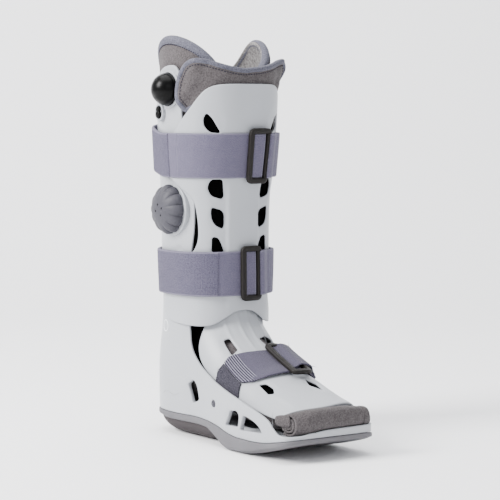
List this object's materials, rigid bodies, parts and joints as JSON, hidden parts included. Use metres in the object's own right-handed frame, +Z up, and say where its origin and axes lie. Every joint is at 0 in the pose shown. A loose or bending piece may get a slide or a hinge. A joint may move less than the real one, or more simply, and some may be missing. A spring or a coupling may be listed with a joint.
{
  "type": "walking boot",
  "caption": "Knee-high walking boot: hard shell with shin panel and foot cover on a rocker sole, padded bootie, ring straps, squeeze bulb, release button and turning dial.",
  "frame": {"origin": "on the floor on the heel's flat underside, under the leg", "axes": "+Z up, toe towards -Y, the side with the dial and the bulb towards -X"},
  "size_m": [0.1533, 0.301, 0.456],
  "materials": {
    "sole_rubber": "matte",
    "shell_plastic": "satin",
    "bootie_cloth": "fleece",
    "pad_cloth": "matte",
    "wrap_cloth": "fleece",
    "strap_webbing": "woven",
    "elastic_webbing": "ribbed",
    "ring_plastic": "matte",
    "bulb_rubber": "glossy",
    "button_plastic": "gloss",
    "dial_plastic": "satin",
    "rivet_plastic": "satin"
  },
  "bodies": {
    "boot": {"outsole": "sole_rubber", "rear_shell": "shell_plastic", "front_panel": "shell_plastic", "foot_cover": "shell_plastic", "liner": "bootie_cloth", "front_flap": "bootie_cloth", "shin_pad": "pad_cloth", "toe_wrap": "wrap_cloth", "upper_strap": "strap_webbing", "lower_strap": "strap_webbing", "upper_ring": "ring_plastic", "lower_ring": "ring_plastic", "foot_strap": "strap_webbing", "foot_elastic": "elastic_webbing", "foot_ring": "ring_plastic", "pump_bulb": "bulb_rubber", "side_rivet": "rivet_plastic"},
    "dial": {"selector_dial": "dial_plastic"},
    "button": {"release_button": "button_plastic"}
  },
  "joints": [
    {"name": "dial_turn", "type": "hinge", "parent": "boot", "child": "dial", "pos_m": [-0.059, 0.002, 0.26], "axis": [1, 0, 0], "range_deg": [-90, 90]},
    {"name": "button_press", "type": "slide", "parent": "boot", "child": "button", "axis": [1, 0, 0], "range_m": [0, 0.002], "stiffness_N_per_m": 400}
  ]
}
